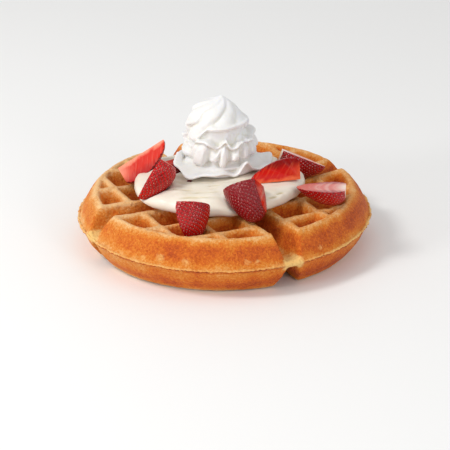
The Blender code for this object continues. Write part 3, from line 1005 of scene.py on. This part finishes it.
def flesh_streaks(finish, along, out, up):
    """Noise drawn out into streaks, which lean back from the tip as they run outwards."""
    grain = add_node(finish, "ShaderNodeCombineXYZ")
    join(finish, maths(finish, "ADD", along, product(finish, out, 0.45)), grain.inputs[0])
    join(finish, product(finish, out, 0.12), grain.inputs[1])
    join(finish, product(finish, up, 0.5), grain.inputs[2])
    return mottle(finish, grain.outputs[0], 9.0, 3.0, 0.6)


def flesh_finish(name, core, middle, rim, streaked, wet):
    """The inside of a berry, from its pale core and pale shoulder out to its red rim."""
    finish, shader = new_finish(name, 0.28)
    place = add_node(finish, "ShaderNodeAttribute", attribute_name="berry_place").outputs["Vector"]
    parts = add_node(finish, "ShaderNodeSeparateXYZ")
    join(finish, place, parts.inputs[0])
    along, across, up = parts.outputs
    square = maths(finish, "ADD", product(finish, across, across), product(finish, up, up))
    out = maths(finish, "SQRT", square, 0.0)
    streaks = flesh_streaks(finish, along, out, up)
    wander = spread(finish, mottle(finish, place, 3.0, 2.0), 0.3, 0.7, -0.08, 0.08)
    base = ramp(finish, maths(finish, "ADD", out, wander), [
        (0.00, core), (0.06, core), (0.22, middle), (0.48, middle), (0.76, rim), (1.00, rim),
    ])
    shoulder = product(finish, spread(finish, along, -0.42, -0.86), spread(finish, out, 0.85, 0.35))
    base = blend(finish, shoulder, base, core)
    belt = product(finish, spread(finish, out, 0.10, 0.30), spread(finish, out, 0.98, 0.75))
    share = product(finish, spread(finish, streaks, 0.50, 0.66), belt)
    colour = blend(finish, product(finish, share, streaked), base, core)
    join(finish, colour, shader.inputs["Base Color"])
    set_inputs(shader, {"Specular IOR Level": wet})
    let_light_in(shader, 0.25, (1.0, 0.25, 0.12), 0.003)
    relief(finish, shader, streaks, 0.0004, 0.7)
    return finish


berry_skin = skin_finish()
berry_seed = seed_finish()
smooth_flesh = flesh_finish("smooth_flesh", "#F09478", "#CE2412", "#B20C08", 0.20, 0.06)
ripe_flesh = flesh_finish("ripe_flesh", "#EA6A40", "#C8140A", "#8A0406", 0.34, 0.08)
pale_flesh = flesh_finish("pale_flesh", "#F8E2D4", "#DC6456", "#A8080C", 0.34, 0.50)
hidden_flesh = flesh_finish("hidden_flesh", "#C02C1C", "#A00C0A", "#860406", 0.20, 0.12)
print("berry finishes ready")

# %% [markdown]
# ## A strawberry
# A berry is a ball drawn out to a point. Its seeds follow the same spiral as a sunflower's: each
# stands one golden angle further round than the last. The skin is pushed in at each seed, the
# berry is cut by planes as a knife cuts it, the ridge between two cuts is rounded a little, and the
# seeds that are left are set in their dimples.

# %% The berry's form and its seeds
BERRY_TAPER = 0.36
BERRY_ROUNDNESS = 0.82
GOLDEN_ANGLE = math.pi * (3 - math.sqrt(5))
BERRY_FACES = (170, 100)
PROFILE_STEPS = 200
SEED_SPACING = 0.0022
HEX_SHARE = 0.87
SEED_SIZES = (0.00036, 0.00054)
SEED_MARGIN = 0.0006
DIMPLE_WIDTH = 0.00062
DIMPLE_DEPTH = 0.00085
SKIN_SWELL = 0.00022
# Width of the painted shade round each seed.
DIMPLE_SHADE_WIDTH = 0.00082
RIDGE_SOFTNESS = 0.0012
CRISP_ANGLE = math.radians(55)
# Which of a berry's materials its cut faces and its seeds have; the skin's comes first.
FLESH, SEED = 1, 2


def berry_surface(bearing, slope):
    """A point of a whole berry of length 2 and radius 1 along X: slope 0 is its tip."""
    reach = math.cos(slope)
    widest = 1 + BERRY_TAPER ** 2 / 2
    width = max(0.0, math.sin(slope)) ** BERRY_ROUNDNESS * (1 - BERRY_TAPER * reach) / widest
    return Vector((reach, width * math.cos(bearing), width * math.sin(bearing)))


def seed_places(length, radius):
    """Points spread evenly over the skin, in the order of the spiral."""
    scale = Vector((length / 2, radius, radius))
    slopes = [math.pi * step / PROFILE_STEPS for step in range(PROFILE_STEPS)]
    rings = []
    for slope in slopes:
        here = berry_surface(0.0, slope) * scale
        after = berry_surface(0.0, slope + math.pi / PROFILE_STEPS) * scale
        rings.append(math.pi * (here.y + after.y) * (after - here).length)
    area = np.cumsum(rings)
    count = int(area[-1] / (SEED_SPACING ** 2 * HEX_SHARE))
    for number in range(count):
        slope = slopes[int(np.searchsorted(area, area[-1] * (number + 0.5) / count))]
        yield berry_surface(number * GOLDEN_ANGLE, slope) * scale


print("seeds on a berry 32 mm long:", len(list(seed_places(0.032, 0.014))))

# %% Dimple, cut and seed a berry
def dimpled(shape, seeds):
    """Pushes the skin in round each seed, and keeps for each point how much painted shade its dimple
    gives it.
    """
    tree = KDTree(len(seeds))
    for number, seed in enumerate(seeds):
        tree.insert(seed, number)
    tree.balance()
    shape.normal_update()
    depth = shape.verts.layers.float.new("dimple")
    moves = []
    for point in shape.verts:
        away = tree.find(point.co)[2]
        # Painted shade: how much this point is darkened in the dimple round its seed.
        point[depth] = math.exp(-(away / DIMPLE_SHADE_WIDTH) ** 2)
        sunk = math.exp(-(away / DIMPLE_WIDTH) ** 2)
        moves.append(point.normal * (SKIN_SWELL - DIMPLE_DEPTH * sunk))
    for point, move in zip(shape.verts, moves):
        point.co += move


def cut_flat(shape, point, outward):
    """Cuts by a plane, drops the side that outward points to, and closes the cut with flesh."""
    parts = shape.verts[:] + shape.edges[:] + shape.faces[:]
    cut = bmesh.ops.bisect_plane(
        shape, geom=parts, plane_co=point, plane_no=outward, clear_outer=True
    )
    edges = [item for item in cut["geom_cut"] if isinstance(item, bmesh.types.BMEdge)]
    for face in bmesh.ops.edgeloop_fill(shape, edges=edges)["faces"]:
        face.material_index = FLESH
        face.smooth = False


def within_flesh(edge):
    return all(face.material_index == FLESH for face in edge.link_faces)


def soften_ridge(shape):
    """Rounds the edge where two cut faces meet, as soft flesh rounds by itself."""
    long_edge = RIDGE_SOFTNESS * 4
    ridges = [edge for edge in shape.edges if within_flesh(edge) and edge.calc_length() > long_edge]
    bmesh.ops.bevel(
        shape, geom=ridges, offset=RIDGE_SOFTNESS, segments=4, profile=0.5, affect="EDGES",
        material=-1, clamp_overlap=True
    )


def seed_mesh():
    """One seed, a small drop of unit size, as a mesh to add to a berry many times."""
    shape = bmesh.new()
    bmesh.ops.create_uvsphere(shape, u_segments=8, v_segments=6, radius=1.0)
    bmesh.ops.scale(shape, vec=(1.0, 0.62, 0.50), verts=shape.verts)
    for face in shape.faces:
        face.material_index = SEED
        face.smooth = True
    mesh = bpy.data.meshes.new("seed")
    shape.to_mesh(mesh)
    shape.free()
    return mesh


def add_seed(shape, seed, place, outward, size):
    """Sets a seed along the berry, half sunk in its dimple."""
    flow = Vector((1, 0, 0)) - outward * outward.x
    flow.normalize()
    turned = Matrix((flow, outward.cross(flow), outward)).transposed().to_4x4()
    laid = Matrix.Translation(place - outward * size * 0.5) @ turned @ Matrix.Scale(size, 4)
    seed.transform(laid)
    shape.from_mesh(seed)
    seed.transform(laid.inverted())


def crisp_edges(shape):
    """Keeps the edges of each cut face crisp, and the dimpled skin smooth."""
    for edge in shape.edges:
        edge.smooth = not within_flesh(edge) and edge.calc_face_angle(0.0) < CRISP_ANGLE


def kept(point, cuts, length, radius):
    """Whether a seed at this point is left by every cut."""
    for along, across, outward in cuts:
        beyond = (point - Vector((along * length, 0, across * radius))).dot(Vector(outward))
        if beyond > -SEED_MARGIN:
            return False
    return True


def berry_shape(length, radius, cuts, chance):
    """A cut berry in its own frame, with its place in the whole berry kept at each point."""
    scale = Vector((length / 2, radius, radius))
    seeds = list(seed_places(length, radius))
    shape = shaped_ball(berry_surface, BERRY_FACES)
    bmesh.ops.scale(shape, vec=scale, verts=shape.verts)
    dimpled(shape, seeds)
    for along, across, outward in cuts:
        cut_flat(shape, (along * length, 0, across * radius), outward)
    soften_ridge(shape)
    crisp_edges(shape)
    seed = seed_mesh()
    for place in seeds:
        if kept(place, cuts, length, radius) and abs(place.x) < length * 0.49:
            outward = Vector((0.12 * place.x, place.y, place.z)).normalized()
            add_seed(shape, seed, place, outward, chance.uniform(*SEED_SIZES))
    within = shape.verts.layers.float_vector.new("berry_place")
    for point in shape.verts:
        point[within] = (point.co.x / scale.x, point.co.y / scale.y, point.co.z / scale.z)
    return shape


print("berries can be cut")

# %% [markdown]
# The knife took the leaves off each berry, halved it, and quartered some of the halves. Every piece
# then lies as it fell, so it is described by where its berry's middle is, where its tip and its
# first cut face point, its length and radius, its cuts, its flesh and how ripe it is. One crumb of
# berry lies where the swirl's skirt meets the pool.

# %% The cuts and the pieces
# A cut is its place along and across the berry, as shares of its length and radius, and the
# direction of what falls away.
def hulled(along=-0.43, lean=0.0):
    """The cut that took the leaves off, across the berry near its shoulder."""
    return along, 0, (-math.cos(lean), -math.sin(lean), 0)


def halved(across=0.0):
    """A lengthwise cut, through the core or to one side of it."""
    return 0, across, (0, 0, 1)


def wedged(angle):
    """A second lengthwise cut through the core, which leaves a wedge of this angle."""
    return 0, 0, (0, math.sin(angle), -math.cos(angle))


BERRIES = {
    "strawberry_1": (
        (-0.0525, 0.0135, 0.0460), (0.82, 0.16, 0.48), (-0.20, -0.66, 0.72), 0.0360, 0.0145,
        [hulled(-0.42), halved(), wedged(1.70)], smooth_flesh, 0.50,
    ),
    "strawberry_2": (
        (-0.0436, -0.0225, 0.0492), (-0.54, -0.30, -0.77), (-0.80, 0.30, 0.48), 0.0292, 0.0122,
        [hulled(), halved()], ripe_flesh, 0.10,
    ),
    "strawberry_3": (
        (-0.0214, -0.0590, 0.0350), (0.14, -0.24, -0.96), (-0.88, 0.38, -0.25), 0.0300, 0.0136,
        [hulled(-0.24, 0.38), halved()], ripe_flesh, 0.36,
    ),
    "strawberry_4": (
        (0.0150, -0.0460, 0.0400), (0.20, -0.58, -0.79), (0.95, -0.24, 0.05), 0.0320, 0.0145,
        [hulled(-0.20), halved(0.50)], smooth_flesh, 0.80,
    ),
    "strawberry_5": (
        (0.0336, -0.0172, 0.0434), (-0.95, -0.28, 0.02), (0.27, -0.92, 0.22), 0.0370, 0.0136,
        [hulled(-0.36), halved(), wedged(1.45)], ripe_flesh, 0.50,
    ),
    "strawberry_6": (
        (0.0490, 0.0218, 0.0420), (0.90, -0.10, -0.36), (0.25, 0.30, 0.92), 0.0305, 0.0140,
        [hulled(), halved()], pale_flesh, 0.50,
    ),
    "strawberry_7": (
        (0.0588, -0.0270, 0.0375), (-0.98, 0.10, -0.02), (-0.02, 0.16, 0.98), 0.0325, 0.0142,
        [hulled(), halved(-0.25)], pale_flesh, 0.35,
    ),
    "strawberry_8": (
        (-0.0366, 0.0040, 0.0416), (-0.40, 0.10, -0.90), (-0.70, 0.55, 0.30), 0.0220, 0.0090,
        [hulled(), halved()], hidden_flesh, 0.50,
    ),
}
PULP_SPOT = (-0.0208, -0.0173)
PULP_HALF_SIDES = (0.0014, 0.0007, 0.0005)
print(len(BERRIES), "pieces of strawberry")

# %% Cut and lay the strawberries
def berry_frame(tip, face):
    """Turn that lays the berry's tip along one direction and its first cut face towards another."""
    tip = Vector(tip).normalized()
    face = (Vector(face) - Vector(face).dot(tip) * tip).normalized()
    return Matrix((tip, face.cross(tip), face)).transposed().to_4x4()


def lay_berry(node, chance):
    middle, tip, face, length, radius, cuts, flesh, ripeness = BERRIES[node]
    shape = berry_shape(length, radius, cuts, chance)
    turned = Matrix.Translation(middle) @ berry_frame(tip, face)
    bmesh.ops.transform(shape, matrix=turned, verts=shape.verts)
    low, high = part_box(node)
    heights = [point.co.z for point in shape.verts]
    settle = (low[2] + high[2]) / 2 - (min(heights) + max(heights)) / 2
    bmesh.ops.translate(shape, vec=(0, 0, settle), verts=shape.verts)
    piece = finished(f"{node}_piece", shape, [berry_skin, flesh, berry_seed])
    store(piece, "ripeness", [ripeness] * len(piece.data.vertices))
    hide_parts(node)
    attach(piece, "root")
    return len(piece.data.polygons)


def lay_pulp():
    """A crumb of berry that fell where the swirl's skirt meets the pool."""
    shape = bmesh.new()
    bmesh.ops.create_uvsphere(shape, u_segments=20, v_segments=14, radius=1.0)
    bmesh.ops.scale(shape, vec=PULP_HALF_SIDES, verts=shape.verts)
    x, y = PULP_SPOT
    height = pool_top(x, y) + PULP_HALF_SIDES[2] * 0.6
    bmesh.ops.translate(shape, vec=(x, y, height), verts=shape.verts)
    piece = finished("berry_pulp", shape, [berry_skin])
    points = points_of(piece)
    lumps = 0.0004 * normals_of(piece) * roughly(points, 0.0009, 41)[:, None]
    move_points(piece, points + lumps)
    # The crumb's own dark red is the skin's darkest colour, the one that is painted as shade in the
    # berries' dimples.
    for name in ("ripeness", "dimple"):
        store(piece, name, [1.0] * len(points))
    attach(piece, "root")


chance = random.Random(5)
for node in BERRIES:
    print(node, lay_berry(node, chance), "faces")
lay_pulp()
